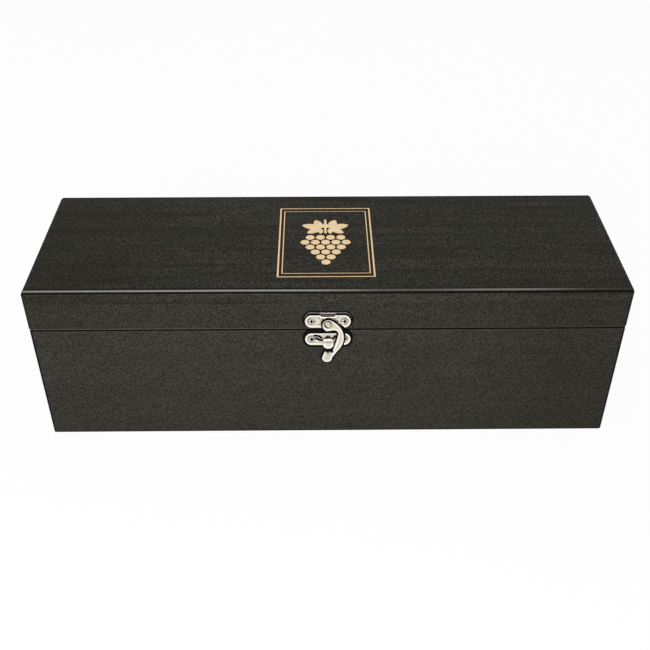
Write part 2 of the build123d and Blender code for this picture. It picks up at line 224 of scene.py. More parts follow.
def open_grain(paint, along, offset, figured):
    """The stain's colour over open grain, and the fibres, pores and speckle in it."""

    def grain(lengthwise, across):
        return tuple(lengthwise if axis == along else across for axis in "XYZ")

    figure = paint.noise(grain(6, 95), offset, 4.0, 0.6, 1.2)
    fibre = paint.noise(grain(90, 900), offset, 3.0, 0.65)
    pores = paint.noise(grain(260, 1500), offset, 1.0, 0.5).above(0.58, 0.70)
    patches = paint.noise(grain(22, 50), offset, 2.0, 0.5)
    tint = paint.noise((380, 380, 380), offset, 2.0, 0.6)
    fineness = (1450 - 450 * figured, 1450 - 850 * figured, 1450)
    speckle = paint.noise(fineness, offset, 1.0, 0.8)
    streaks = (0.35 + 0.65 * figured) * figure.above(0.42, 0.62)
    darker = 0.010 * figured
    streak = opaque(0.036 - darker, 0.0345 - darker, 0.027 - darker)
    colour = paint.mix(streaks, opaque(0.0505, 0.0495, 0.0415), streak)
    reddish = (0.25 + 0.30 * figured) * patches.above(0.5, 0.66) + 0.20 * tint.above(0.5, 0.68)
    colour = paint.mix(reddish, colour, opaque(0.0500, 0.0370, 0.0300))
    olive = (0.25 + 0.45 * figured) * patches.above(0.5, 0.36) + 0.18 * tint.above(0.5, 0.32)
    colour = paint.mix(olive, colour, opaque(0.0350, 0.0370, 0.0240))
    colour = paint.mix(0.95 * speckle.above(0.43, 0.58), colour, opaque(0.0110, 0.0105, 0.0085))
    colour = paint.mix(0.35 * fibre.above(0.42, 0.75), colour, opaque(0.0170, 0.0155, 0.0130))
    colour = paint.mix(0.4 * pores, colour, opaque(0.010, 0.009, 0.008))
    return colour, fibre, pores, speckle


def outermost(place, level, full, none):
    """1 in the last full millimetres before a side of the box, and 0 beyond none."""
    return place.above(level - none * MM, level - full * MM)


def outer_edges(x, y, z, shell):
    """The dark edges where two sides of the box meet, and its two ends."""
    left, right, half_depth = shell[0].x, shell[1].x, -shell[0].y
    end = outermost(x, right, 1.4, 1.7) + outermost(0 - x, -left, 1.4, 1.7)
    front = outermost(0 - y, half_depth, 2.5, 3.2)
    back = outermost(y, half_depth, 2.8, 3.3)
    top = outermost(z, lid_surface, 2.5, 3.2)
    bottom = outermost(0 - z, 0.0, 0.8, 1.3)
    return end * (front + back + top) + top * back + 0.6 * bottom * front, end


def painted_edge_highlight(x, y, z, shell, leftward, end):
    """A painted highlight along a front edge, and painted dark lines on both sides of it."""
    from_edge = y - shell[0].y - 0.25 * MM * leftward
    arris = z.above(shell[1].z - 2.3 * MM, shell[1].z - 2.0 * MM) * (1 - end)
    # How strong the painted highlight is along the edge, from the left end to the right
    painted_light_share = 1 - 0.66 * x.above(-20 * MM, 40 * MM) + 0.36 * x.above(50 * MM, 95 * MM)
    painted_light_share = painted_light_share - 0.62 * x.above(110 * MM, 160 * MM)

    def strip(near, far):
        """1 on the arris between two distances from the front."""
        inner = from_edge.above((near - 0.2) * MM, near * MM)
        return arris * inner * (1 - from_edge.above(far * MM, (far + 0.2) * MM))

    return painted_light_share * strip(1.35, 2.6), strip(0.3, 1.0) + painted_light_share * strip(3.2, 4.2)


def seam_lines(z, leftward, upright):
    """Painted shade in the seam, and lighter painted highlights on the lips above and below it."""
    from_seam = z - seam - 0.22 * MM * leftward
    to_seam = abs(from_seam)
    to_line = to_seam - 0.15 * MM * leftward
    seam_shade = upright * (1 - to_line.above(0.38 * MM, 0.55 * MM))
    over_seam = from_seam.above(0, 0.2 * MM)
    near_seam = 1 - to_seam.above(1.0 * MM, 1.3 * MM)
    return seam_shade, (0.12 + 0.35 * leftward * over_seam) * upright * near_seam


def stained_wood(board, along, offset, depth=0.0, ends=(0.0, 0.0), figured=0.0):
    """Near-black satin stain, with a painted highlight along the front edge of the lid and the
    base.

    depth says how much darker the board is, and ends how much painted shade darkens it towards the
    left and the right end. figured is 1 on a board with a strong figure.
    """
    paint = new_paint(f"{board}_stain")
    on_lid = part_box(board)[1].z > seam + 1 * MM
    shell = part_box("lid_top_panel" if on_lid else "base_front_panel")
    colour, fibre, pores, speckle = open_grain(paint, along, offset, figured)
    x, y, z = paint.position()
    left_end, right_end = (0 - x).above(70 * MM, 150 * MM), x.above(80 * MM, 150 * MM)
    # Darker all over by depth, and painted shade towards the left and the right end
    tone_and_end_shade = depth + ends[0] * left_end + ends[1] * right_end
    leftward = (0 - x).above(-20 * MM, 60 * MM)
    upright = 1 - abs(paint.axis("Normal", 2)).above(0.95, 0.99)
    edges, end = outer_edges(x, y, z, shell)
    # A painted highlight along the front edge, with painted dark lines beside it; the coat there
    # reflects the lamps
    edge_highlight, shaded = painted_edge_highlight(x, y, z, shell, leftward, end)
    # Painted shade in the seam, and painted highlights on the lips above and below it
    seam_shade, lip_highlight = seam_lines(z, leftward, upright)
    colour = paint.mix(tone_and_end_shade, colour, opaque(0.008, 0.008, 0.001))
    colour = paint.mix(edges, colour, opaque(0.002, 0.002, 0.0015))
    colour = paint.mix(shaded, colour, opaque(0.004, 0.004, 0.003))
    colour = paint.mix(0.9 * edge_highlight, colour, opaque(0.175, 0.168, 0.155))
    colour = paint.mix(lip_highlight, colour, opaque(0.110, 0.105, 0.095))
    colour = paint.mix(seam_shade, colour, opaque(0.003, 0.003, 0.002))
    return paint.surface(
        Base_Color=colour,
        Roughness=0.40 + 0.10 * fibre + 0.08 * speckle,
        Specular_IOR_Level=0.03,
        Coat_Weight=edge_highlight * (1 - seam_shade),
        Coat_Roughness=0.24,
        Normal=paint.bump(fibre * 0.5 + speckle * 0.2 - pores * 0.6, 0.02 * MM, 0.5),
    )


def painted_shadow(name):
    """A nearly black film with a little unevenness, which stands for shadow."""
    paint = new_paint(name)
    film = paint.noise((700, 700, 700), (6, 1, 4), 2.0, 0.6)
    thick, thin = opaque(0.001, 0.001, 0.001), opaque(0.004, 0.0035, 0.003)
    colour = paint.mix(film.above(0.4, 0.7), thick, thin)
    return paint.surface(
        Base_Color=colour,
        Roughness=0.5 + 0.2 * film,
        Specular_IOR_Level=0.03,
        Normal=paint.bump(film, 0.02 * MM, 0.5),
    )


def bare_wood(name):
    """The pale wood that the engraving lays bare, browned here and there by the burning."""
    paint = new_paint(name)
    fibre = paint.noise((60, 1400, 900), (0, 0, 0), 3.0, 0.6)
    flecks = paint.noise((700, 1100, 900), (3, 1, 2), 2.0, 0.6)
    scorch = paint.noise((260, 260, 260), (5, 0, 0), 2.0, 0.5)
    colour = paint.mix(fibre.above(0.3, 0.7), opaque(0.92, 0.71, 0.44), opaque(0.78, 0.57, 0.32))
    colour = paint.mix(0.5 * flecks.above(0.5, 0.75), colour, opaque(0.60, 0.41, 0.21))
    colour = paint.mix(0.3 * scorch.above(0.55, 0.8), colour, opaque(0.42, 0.27, 0.13))
    return paint.surface(
        Base_Color=colour,
        Roughness=0.62 + 0.2 * fibre,
        Normal=paint.bump(fibre + flecks, 0.04 * MM, 0.6),
    )


def scorched_wood(name):
    """Wood burned brown along the engraving's edges."""
    paint = new_paint(name)
    burn = paint.noise((900, 900, 900), (2, 2, 8), 2.0, 0.6)
    brown, charred = opaque(0.042, 0.025, 0.009), opaque(0.018, 0.011, 0.004)
    colour = paint.mix(burn.above(0.35, 0.7), brown, charred)
    return paint.surface(
        Base_Color=colour,
        Roughness=0.75,
        Specular_IOR_Level=0.05,
        Normal=paint.bump(burn, 0.03 * MM, 0.5),
    )


def plated_metal(name, colour, shade, roughness, waviness, shade_marks=None, bright=None):
    """Bright plating over a stamped sheet, darkened by painted shade where its shade value says
    so.

    bright is its colour where there is no painted shade at all: on the pressed pieces a painted
    highlight on their rims.
    """
    paint = new_paint(name)
    waves = paint.noise((330, 330, 330), (1, 2, 3), 2.0, 0.5)
    stains = paint.noise((520, 520, 520), (7, 2, 5), 3.0, 0.6)
    scratches = paint.noise((2600, 240, 900), (2, 9, 4), 2.0, 0.5)
    tint = paint.mix(0.55 * stains.above(0.42, 0.72), colour, shade)
    rough = roughness + 0.10 * stains.above(0.4, 0.7) + 0.05 * scratches
    bare = 1.0
    if shade_marks:
        # Painted shade darkens the colour towards black, takes the metal away and roughens it
        shade_amount = shade_marks(paint)
        tint = paint.mix(shade_amount.above(0.02, 0.16), bright or colour, tint)
        tint = paint.mix(shade_amount, tint, opaque(0.002, 0.0017, 0.0014))
        rough = rough + 0.3 * shade_amount
        bare = 1 - shade_amount.above(0.4, 0.9)
    return paint.surface(
        Base_Color=tint,
        Metallic=bare,
        Roughness=rough,
        Specular_IOR_Level=0.0,
        Normal=paint.bump(waves + 0.08 * scratches, waviness, 0.7),
    )


def felt_fabric(name):
    """Short black felt: matted fibres with a soft bloom."""
    paint = new_paint(name)
    mat = paint.noise((1800, 1800, 1800), (0, 0, 0), 4.0, 0.7)
    tufts = paint.noise((420, 420, 420), (4, 4, 1), 3.0, 0.6)
    hollow, raised = opaque(0.012, 0.012, 0.013), opaque(0.035, 0.034, 0.035)
    colour = paint.mix(mat.above(0.35, 0.7), hollow, raised)
    colour = paint.mix(tufts.above(0.5, 0.8) * 0.5, colour, opaque(0.05, 0.049, 0.05))
    return paint.surface(
        Base_Color=colour,
        Roughness=0.95,
        Sheen_Weight=0.35,
        Sheen_Roughness=0.5,
        Specular_IOR_Level=0.15,
        Normal=paint.bump(mat + tufts, 0.25 * MM, 0.8),
    )


def pale_floor(name):
    """A white floor: the camera sees mostly its own colour, with a trace of shadow."""
    paint = new_paint(name)
    own_colour = 0.95
    lit = paint.node("ShaderNodeBsdfDiffuse", inputs={"Color": opaque(0.85, 0.85, 0.85)})
    plain = paint.node("ShaderNodeEmission", inputs={"Strength": 1.0})
    share = own_colour * paint.rays_that_see()
    return paint.finish(paint.node("ShaderNodeMixShader", inputs={0: share, 1: lit, 2: plain}))


# Stage: floor, white surroundings, lamps and camera


def floor():
    """A floor just under the box, wide enough to reach past the picture's edges."""
    half_width = 6.0
    mesh = bpy.data.meshes.new("floor")
    form = bmesh.new()
    bmesh.ops.create_grid(form, x_segments=4, y_segments=4, size=half_width)
    form.to_mesh(mesh)
    form.free()
    mesh.materials.append(pale_floor("pale_floor"))
    plane = bpy.data.objects.new("floor", mesh)
    bpy.context.scene.collection.objects.link(plane)
    plane.location.z = -0.2 * MM


def surroundings(strength):
    """Even light all round, which the camera and mirrors see as plain white."""
    world = bpy.data.worlds.new("studio")
    bpy.context.scene.world = world
    paint = Paint(world, "ShaderNodeOutputWorld")
    evenly = {"Color": opaque(1, 1, 1), "Strength": strength}
    lit = paint.node("ShaderNodeBackground", inputs=evenly)
    white = paint.node("ShaderNodeBackground", inputs={"Color": opaque(1, 1, 1)})
    shown = paint.rays_that_see()
    paint.finish(paint.node("ShaderNodeMixShader", inputs={0: shown, 1: lit, 2: white}))


def softbox(name, place, target, width, height, power):
    lamp = bpy.data.lights.new(name, "AREA")
    lamp.shape = "RECTANGLE"
    lamp.size = width
    lamp.size_y = height
    lamp.energy = power
    hung = bpy.data.objects.new(name, lamp)
    hung.location = place
    direction = Vector(target) - Vector(place)
    hung.rotation_euler = direction.to_track_quat("-Z", "Y").to_euler()
    bpy.context.scene.collection.objects.link(hung)


def camera():
    """The camera fitted to the box's outline in the photograph."""
    focal_pixels, picture_pixels = 921.936, 650
    downward_tilt, turn_to_right = 0.65712, 0.00947
    seen = bpy.data.cameras.new("camera")
    seen.sensor_width = 36.0
    seen.lens = focal_pixels / picture_pixels * seen.sensor_width
    stand = bpy.data.objects.new("camera", seen)
    stand.location = (-6.057 * MM, -487.747 * MM, 419.673 * MM)
    stand.rotation_euler = (pi / 2 - downward_tilt, 0.0, -turn_to_right)
    bpy.context.scene.collection.objects.link(stand)
    bpy.context.scene.camera = stand


# Finishes of the CAD pieces


def dress(node, material):
    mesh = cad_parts[node].data
    mesh.materials.clear()
    mesh.materials.append(material)


def dress_boards():
    long_boards = [
        "base_front_panel", "base_back_panel", "base_bottom_panel",
        "lid_front_rail", "lid_back_rail", "lid_top_panel",
    ]
    cross_boards = [
        "base_left_panel", "base_right_panel", "lid_left_rail", "lid_right_rail",
        "neck_cradle", "body_cradle",
    ]
    # How much darker each board is, how much painted shade darkens each end, and how strong the
    # figure is
    shown = {
        "base_front_panel": (0.0, (0.05, 0.19), 0.0),
        "lid_front_rail": (0.10, (0.10, 0.16), 0.0),
        "lid_top_panel": (0.0, (0.33, 0.06), 1.0),
    }
    for along, boards in (("X", long_boards), ("Y", cross_boards)):
        for place, board in enumerate(boards):
            offset = (3.1 * place, 1.7 * place + 5, 2.3 * place)
            depth, ends, figured = shown.get(board, (0.0, (0.0, 0.0), 0.0))
            dress(board, stained_wood(board, along, offset, depth, ends, figured))


def dress_metal():
    hinge_plate = plated_metal(
        "hinge_plating", opaque(0.62, 0.59, 0.53), opaque(0.50, 0.47, 0.41), 0.28, 0.03 * MM
    )
    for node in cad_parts:
        if "hinge" in node:
            dress(node, hinge_plate)


# Outlines and meshes


def flat_loops(node, axis, level):
    """The closed outlines of a node's faces in one plane, longest first, the faces on the left."""
    form = bmesh.new()
    form.from_mesh(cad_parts[node].data)
    bmesh.ops.remove_doubles(form, verts=form.verts, dist=0.001 * MM)
    level_faces = [
        face for face in form.faces
        if all(abs(vertex.co[axis] - level) < in_plane_within for vertex in face.verts)
    ]
    in_plane = set(level_faces)
    # In the mesh's own order, not the set's, so that each run gives the same outlines
    following = {}
    for face in level_faces:
        for loop in face.loops:
            beyond = [other for other in loop.edge.link_faces if other is not face]
            if not any(other in in_plane for other in beyond):
                following[loop.vert] = loop.link_loop_next.vert
    others = [other for other in range(3) if other != axis]
    loops = []
    while following:
        vertex = next(iter(following))
        loop = []
        while vertex in following:
            loop.append([vertex.co[other] for other in others])
            vertex = following.pop(vertex)
        loops.append(np.array(loop))
    form.free()
    return sorted(loops, key=outline_length, reverse=True)


def add_piece(name, form, materials, body, node=None):
    """Make a scene piece of a bmesh: it rides on a body, and may stand for a CAD node."""
    mesh = bpy.data.meshes.new(name)
    form.to_mesh(mesh)
    form.free()
    for material in materials:
        mesh.materials.append(material)
    piece = bpy.data.objects.new(name, mesh)
    bpy.context.scene.collection.objects.link(piece)
    if node:
        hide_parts(node)
    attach(piece, body)
    return piece


def outline_length(loop):
    return np.linalg.norm(loop - np.roll(loop, -1, 0), axis=1).sum()


def loop_area(loop):
    """An outline's area, negative where it runs clockwise."""
    following = np.roll(loop, -1, 0)
    return (loop[:, 0] * following[:, 1] - loop[:, 1] * following[:, 0]).sum() / 2


def refined(loop, pitch):
    """The same outline, its long edges divided."""
    points = []
    for start, end in zip(loop, np.roll(loop, -1, 0)):
        count = max(1, int(np.ceil(np.linalg.norm(end - start) / pitch)))
        for step in range(count):
            points.append(start + (end - start) * step / count)
    return np.array(points)


def circle(x, z, radius, count=48):
    turns = np.arange(count) * 2 * pi / count
    return np.stack([x + radius * np.cos(turns), z + radius * np.sin(turns)], 1)


def distance_to(points, loop):
    """How far each point is from an outline."""
    start, end = loop, np.roll(loop, -1, 0)
    edge = end - start
    offset = points[:, None, :] - start[None]
    share = (offset * edge).sum(2) / np.maximum((edge * edge).sum(1), 1e-18)
    nearest = offset - np.clip(share, 0, 1)[..., None] * edge
    return np.sqrt((nearest ** 2).sum(2)).min(1)


def inside(points, loop):
    x, z = points[:, 0:1], points[:, 1:2]
    start, end = loop, np.roll(loop, -1, 0)
    spans = (start[None, :, 1] > z) != (end[None, :, 1] > z)
    rise = np.where(end[:, 1] == start[:, 1], 1e-12, end[:, 1] - start[:, 1])
    crossing = start[:, 0] + (z - start[:, 1]) * (end - start)[:, 0] / rise
    return (spans & (x < crossing)).sum(1) % 2 == 1


def quarter_turned(directions):
    """Each direction turned a quarter to the left, and 1 long."""
    turned = np.stack([-directions[:, 1], directions[:, 0]], 1)
    return turned / np.linalg.norm(directions, axis=1)[:, None]


def join_rings(form, rings, slot=0):
    """Walls from each ring of points to the next, in one of the piece's material slots."""
    for near, far in zip(rings[:-1], rings[1:]):
        for place in range(len(near)):
            beside = (place + 1) % len(near)
            wall = (near[place], near[beside], far[beside], far[place])
            form.faces.new(wall).material_index = slot


def spread_triangles(rims, points=np.zeros((0, 2))):
    """Triangles over the first outline less the others, through all the points."""
    edges = []
    first = 0
    for rim in rims:
        count = len(rim)
        edges += [(first + place, first + (place + 1) % count) for place in range(count)]
        first += count
    flat = np.concatenate(list(rims) + [points])
    made = delaunay_2d_cdt([Vector(point) / MM for point in flat], edges, [], 0, 1e-5)
    corners = np.array([tuple(corner) for corner in made[0]]) * MM
    faces = np.array(made[2])
    centre = corners[faces].mean(1)
    keep = inside(centre, rims[0])
    for hole in rims[1:]:
        keep &= ~inside(centre, hole)
    return corners, faces[keep]


def widened(loop, amount):
    """An outline moved outwards by an amount, or by an amount for each point."""
    ahead = np.roll(loop, -1, 0) - loop
    ahead /= np.linalg.norm(ahead, axis=1)[:, None]
    behind = np.roll(ahead, 1, 0)
    away = np.stack([ahead[:, 1] + behind[:, 1], -ahead[:, 0] - behind[:, 0]], 1)
    away *= (2 / np.maximum((away ** 2).sum(1), 1.0))[:, None]
    return loop + np.sign(loop_area(loop)) * np.reshape(amount, (-1, 1)) * away


def distance_to_holes(points, holes):
    """How far each point is from the nearest hole, or 1 m where there is none."""
    if not holes:
        return np.full(len(points), 1.0)
    return np.min([distance_to(points, hole) for hole in holes], axis=0)


def spread_points(outer, holes, pitch):
    """Points for the front of a sheet: an even grid, and close rows along its edge."""
    low, high = outer.min(0), outer.max(0)
    columns, levels = np.arange(low[0], high[0], pitch), np.arange(low[1], high[1], pitch)
    across, up = np.meshgrid(columns, levels)
    grid = np.stack([across.ravel(), up.ravel()], 1)
    rows = [grid[distance_to(grid, outer) > 1.0 * MM]]
    normal = quarter_turned(np.roll(outer, -1, 0) - np.roll(outer, 1, 0))
    for inset in (0.06, 0.16, 0.28, 0.42, 0.58, 0.76, 0.95):
        for side in (-1, 1):
            row = outer + side * inset * MM * normal
            rows.append(row[distance_to(row, outer) > 0.93 * inset * MM])
    points = np.concatenate(rows)
    keep = inside(points, outer)
    for hole in holes:
        keep &= ~inside(points, hole) & (distance_to(points, hole) > 0.12 * MM)
    return points[keep]


def pressed_sheet(
    name, outline, holes, back, height, shade_marks, edge_shade_width, materials, body, node=None
):
    """A pressed sheet of metal: its front follows a height over the plane of its back.

    height and the two functions after it take points and give how far the front stands out there,
    how much painted shade it has, and the width of the band of painted shade along its edge.
    materials are those of the front and of the sides.
    """
    pitch = 0.3 * MM
    outer = refined(outline, pitch)
    holes = [refined(hole, pitch) for hole in holes]
    rims = [outer] + holes
    corners, faces = spread_triangles(rims, spread_points(outer, holes, pitch))
    from_edge = distance_to(corners, outer)
    # A band of painted shade along the edge
    edge_shade = np.clip((edge_shade_width(corners) - from_edge) / (0.2 * MM), 0, 1)
    marks = shade_marks(corners, from_edge, distance_to_holes(corners, holes))
    form = bmesh.new()
    layer = form.verts.layers.float.new("shade_marks")

    def corner(x, y, z, shading):
        made = form.verts.new((x, y, z))
        made[layer] = shading
        return made

    front = [
        corner(x, back - up, z, shading)
        for (x, z), up, shading in zip(
            corners, height(corners, from_edge), np.maximum(edge_shade, marks)
        )
    ]
    for face in faces:
        form.faces.new([front[place] for place in face])
    plain, plain_faces = spread_triangles(rims)
    rear = [corner(x, back, z, 0.2) for x, z in plain]
    for face in plain_faces:
        form.faces.new([rear[place] for place in face[::-1]])
    # Rings down the sides: the share of the full height, and how much painted shade the outer side
    # has; the sides of holes are fully shaded
    down_the_side = ((1.0, 1.0), (0.66, 1.0), (0.5, 0.1), (0.12, 0.1), (0.0, 0.6))
    for rim in rims:
        rises = height(rim, distance_to(rim, outer))
        rings = []
        for depth, outer_shading in down_the_side:
            shading = outer_shading if rim is outer else 1.0
            ring = [corner(x, back - up * depth, z, shading) for (x, z), up in zip(rim, rises)]
            rings.append(ring)
        join_rings(form, rings, 1)
    form.normal_update()
    for face in form.faces:
        face.smooth = True
    return add_piece(name, form, materials, body, node)


def rounded_rim(distance, top, width, drop):
    """The height of a rolled edge that falls away by drop over its width."""
    share = np.clip(distance / width, 0, 1)
    return top - drop * (1 - np.sqrt(1 - (1 - share) ** 2))


def mounds(points, places):
    """Small round bumps (or dimples, where the height is negative)."""
    total = np.zeros(len(points))
    for x, z, radius, height in places:
        squared = (points[:, 0] - x) ** 2 + (points[:, 1] - z) ** 2
        total += height * np.exp(-squared / radius ** 2)
    return total


def wavy_cut(points, width):
    """The outline of a narrow cut along a smooth line through some points."""
    line = []
    ends = [2 * points[0] - points[1]] + list(points) + [2 * points[-1] - points[-2]]
    for place in range(1, len(ends) - 2):
        before, start, end, after = ends[place - 1:place + 3]
        for share in np.arange(0, 1, 0.1):
            line.append(
                0.5 * (2 * start + (end - before) * share
                + (2 * before - 5 * start + 4 * end - after) * share ** 2
                + (3 * start - before - 3 * end + after) * share ** 3)
            )
    line = np.array(line + [ends[-2]])
    sideways = quarter_turned(np.gradient(line, axis=0)) * width / 2
    return np.concatenate([line + sideways, (line - sideways)[::-1]])


# Finishes of the clasp


cream, cream_shade = opaque(0.95, 0.89, 0.76), opaque(0.72, 0.63, 0.50)
# The near-white is a painted highlight on the rims of the pressed pieces
rim_highlight = opaque(0.995, 0.965, 0.86)


def sheet_shade(paint):
    """How much painted shade a pressed sheet has, as its mesh says."""
    return paint.painted("shade_marks")


# The keeper's sides have more painted shade than their mesh says
def keeper_side_shade(paint):
    return 0.15 + 0.5 * paint.painted("shade_marks")


def pressed_nickel():
    return plated_metal(
        "pressed_nickel", cream, cream_shade, 0.16, 0.10 * MM, sheet_shade, rim_highlight
    )


def side_nickels():
    """Darker copies of the nickel for the sides of each pressed piece, as painted shade; the
    catch's is nearly black for its shadow beneath the plate.
    """
    sides = {
        "plate": (opaque(0.62, 0.54, 0.52), opaque(0.45, 0.38, 0.37), 0.6, sheet_shade),
        "catch": (opaque(0.10, 0.085, 0.09), opaque(0.05, 0.045, 0.05), 0.6, sheet_shade),
        "keeper": (opaque(0.55, 0.50, 0.41), opaque(0.40, 0.35, 0.28), 0.5, keeper_side_shade),
        "hook": (opaque(0.75, 0.70, 0.60), opaque(0.60, 0.54, 0.44), 0.3, sheet_shade),
    }
    made = {}
    for piece, (colour, shade, roughness, shade_marks) in sides.items():
        name = f"{piece}_wall_nickel"
        made[piece] = plated_metal(name, colour, shade, roughness, 0.05 * MM, shade_marks)
    return made


def how_far(across, up):
    """A point's distance, from how far it is sideways and upwards."""
    return (across * across + up * up) ** 0.5


def screw_shade(row, shade_radius):
    """Painted shade in and round a screw's cross, and broken round the edge of its head.

    The blob of painted shade over the cross is full out to a radius of that many millimetres,
    given after the row.
    """
    blob_right, blob_column = 0.3, 9.8

    def arm(across, along):
        return (1 - across.above(0.3 * MM, 0.55 * MM)) * (1 - along.above(1.1 * MM, 1.4 * MM))

    def shade_mask(paint):
        x, y, z = paint.position()
        deep = (y - screw_front).above(0.05 * MM, 0.22 * MM)
        sideways, up = x - clasp_middle[0], z - (clasp_middle[1] + row * MM)
        from_screw = how_far(abs(sideways) - screw_column * MM, up)
        across = abs(sideways - blob_right * MM) - blob_column * MM
        blob = 1 - how_far(across, up).above(shade_radius * MM, (shade_radius + 0.4) * MM)
        arms = arm(abs(across), abs(up)) + arm(abs(up), abs(across))
        broken = paint.noise((520, 520, 520), (2, 6, 1), 1.0, 0.5).above(0.42, 0.52)
        edge = from_screw.above(1.5 * MM, 1.75 * MM) * (0.25 + 0.75 * broken)
        return (deep + arms + blob + 0.85 * edge).capped()

    return shade_mask


def rivet_shade(paint):
    """Painted shade in a ring round the rivet's head, heavier at its lower left, and darker still
    where the rivet is set back from its front.
    """
    x, y, z = paint.position()
    across, up = x - pivot[0], z - pivot[1]
    low_left = (0 - across - up).above(0.2 * MM, 1.6 * MM)
    crescent = (0.3 + 0.6 * low_left) * how_far(across, up).above(0.75 * MM, 1.05 * MM)
    return (crescent + 0.8 * (y - rivet_low.y).above(0.45 * MM, 0.8 * MM)).capped()


def rivet_nickel():
    colour, shade = opaque(0.72, 0.65, 0.48), opaque(0.55, 0.47, 0.32)
    return plated_metal("rivet_nickel", colour, shade, 0.4, 0.08 * MM, rivet_shade)


# The clasp


def at(x, z):
    """A place on the clasp, from millimetres sideways and upwards from its middle."""
    return clasp_middle + np.array([x, z]) * MM


def evenly(width):
    return lambda points: np.full(len(points), width * MM)


def screw_holes(row):
    return [circle(*at(side * screw_column, row), screw_hole_radius * MM) for side in (-1, 1)]


def pan_outline(node):
    """The outline of a stamped pan on the board, let out to carry a band of painted shade along
    its edge.
    """
    return widened(flat_loops(node, 1, box_front)[0], pan_margin * MM)


def in_dip(points, half_width):
    """Whether points are in the dip of the plate's top edge, over the hook's head."""
    near = np.abs(points[:, 0] - clasp_middle[0]) < half_width * MM
    return near & (points[:, 1] > at(0, plate_row)[1])


def stamped_height(points, distance, top, places=()):
    """A rolled rim with a field a little lower inside it."""
    rim = rounded_rim(distance, top, 1.0 * MM, 0.6 * MM)
    field = np.clip((distance - 1.3 * MM) / (0.4 * MM), 0, 1)
    return rim - 0.2 * MM * field * field * (3 - 2 * field) + mounds(points, places)


def stamped_shade(points, distance, to_hole, places=()):
    """Painted shade in the groove inside the rim, on the field, round the holes and at some
    places.
    """
    groove = 0.30 * np.exp(-((distance - 2.0 * MM) / (0.25 * MM)) ** 2)
    field = 0.20 * np.clip((distance - 1.6 * MM) / (0.3 * MM), 0, 1)
    hole = 0.8 * np.clip(1.3 - to_hole / (0.25 * MM), 0, 1)
    return np.clip(groove + field + hole + mounds(points, places), 0, 1)


def plate(outline, nickel, side):
    """The upper plate, with three dimples darkened by painted shade and a painted shadow round
    behind the hook's head.
    """
    dimples = [(-5.0, 9.05, 0.42), (-5.3, 4.55, 0.40), (4.3, 7.15, 0.34)]
    dimple_depth = 0.35
    dark_radius = 4.5

    def height(points, distance):
        places = [(*at(x, z), radius * MM, -dimple_depth * MM) for x, z, radius in dimples]
        return stamped_height(points, distance, pan_depth * MM, places)

    def shade_marks(points, distance, to_hole):
        places = [(*at(x, z), 1.1 * radius * MM, 0.9) for x, z, radius in dimples]
        shade_mask = stamped_shade(points, distance, to_hole, places)
        # A painted shadow round the hook's head
        from_pivot = np.hypot(*(points - pivot).T)
        round_head = np.clip((dark_radius * MM - from_pivot) / (0.4 * MM), 0, 1)
        return np.clip(shade_mask + round_head, 0, 1)

    def edge_shade_width(points):
        """The band of painted shade is narrower in the dip over the hook's head."""
        return np.where(in_dip(points, 5.0), 0.45 * MM, 0.8 * MM)

    pressed_sheet(
        "pressed_plate", outline, screw_holes(plate_row), box_front,
        height, shade_marks, edge_shade_width, (nickel, side), "lid", "clasp_plate",
    )


def flange(top, side):
    """The plate's edge turned back over the dip, which shows as a thin grey band."""
    bottom = top - flange_height * MM
    left = clasp_middle[0] - dip_half_width * MM
    right = clasp_middle[0] + dip_half_width * MM
    outline = np.array([(left, bottom), (right, bottom), (right, top), (left, top)])

    def height(points, distance):
        return np.full(len(points), flange_depth * MM)

    # Painted shade on the lower part of the band
    def shade_marks(points, distance, to_hole):
        return np.clip((top - points[:, 1]) / (0.3 * MM) - 2, 0.1, 1)

    pressed_sheet(
        "plate_flange", outline, [], box_front,
        height, shade_marks, evenly(0), (side, side), "lid",
    )


def catch(outline, nickel, side):
    """The lower plate, with the wavy cuts that the keeper was pressed out along."""
    lines = (
        ((-7.3, -5.3), (-4.6, -7.0), (-2.4, -6.8), (0.0, -4.5), (2.5, -6.1), (4.6, -3.9)),
        ((-8.4, -3.5), (-5.6, -4.0), (-3.5, -5.6)),
    )
    cuts = [wavy_cut([at(*point) for point in line], cut_width * MM) for line in lines]

    def height(points, distance):
        return stamped_height(points, distance, pan_depth * MM)

    pressed_sheet(
        "pressed_catch", outline, screw_holes(catch_row) + cuts, box_front,
        height, stamped_shade, evenly(0.75), (nickel, side), "base", "clasp_catch",
    )


def shadow_patch(name, outline, run, stain, body):
    """A nearly black film on the wood round a plate, as a painted shadow, run down some
    millimetres below it.
    """
    margin, thickness = 1.0, 0.03
    patch = widened(outline, margin * MM)
    patch[patch[:, 1] < patch[:, 1].mean(), 1] -= run * MM
    form = bmesh.new()
    corners, faces = spread_triangles([patch])
    film = [form.verts.new((x, box_front - thickness * MM, z)) for x, z in corners]
    for face in faces:
        form.faces.new([film[place] for place in face])
    add_piece(name, form, [stain], body)


def plate_shadows(plate_outline, catch_outline):
    """The painted shadow round both plates, straight across the dip and run down below the catch.
    """
    straight = plate_outline.copy()
    straight[in_dip(plate_outline, dip_half_width), 1] = plate_outline[:, 1].max()
    # stain is the nearly black film of the painted shadow
    stain = painted_shadow("painted_shadow")
    shadow_patch("plate_shadow", straight, 0, stain, "lid")
    shadow_patch("catch_shadow", catch_outline, 1.7, stain, "base")


def keeper_outline():
    """The keeper's low bow at the top and its half round at the bottom."""
    top = [
        at(
            keeper_column + keeper_radius * cos(turn),
            keeper_top + keeper_top_bow * sin(turn),
        )
        for turn in np.linspace(0, pi, 24)
    ]
    bottom = [
        at(
            keeper_column - keeper_radius * cos(turn),
            keeper_bottom - keeper_radius * sin(turn),
        )
        for turn in np.linspace(0, pi, 40)
    ]
    return np.concatenate([top, bottom])


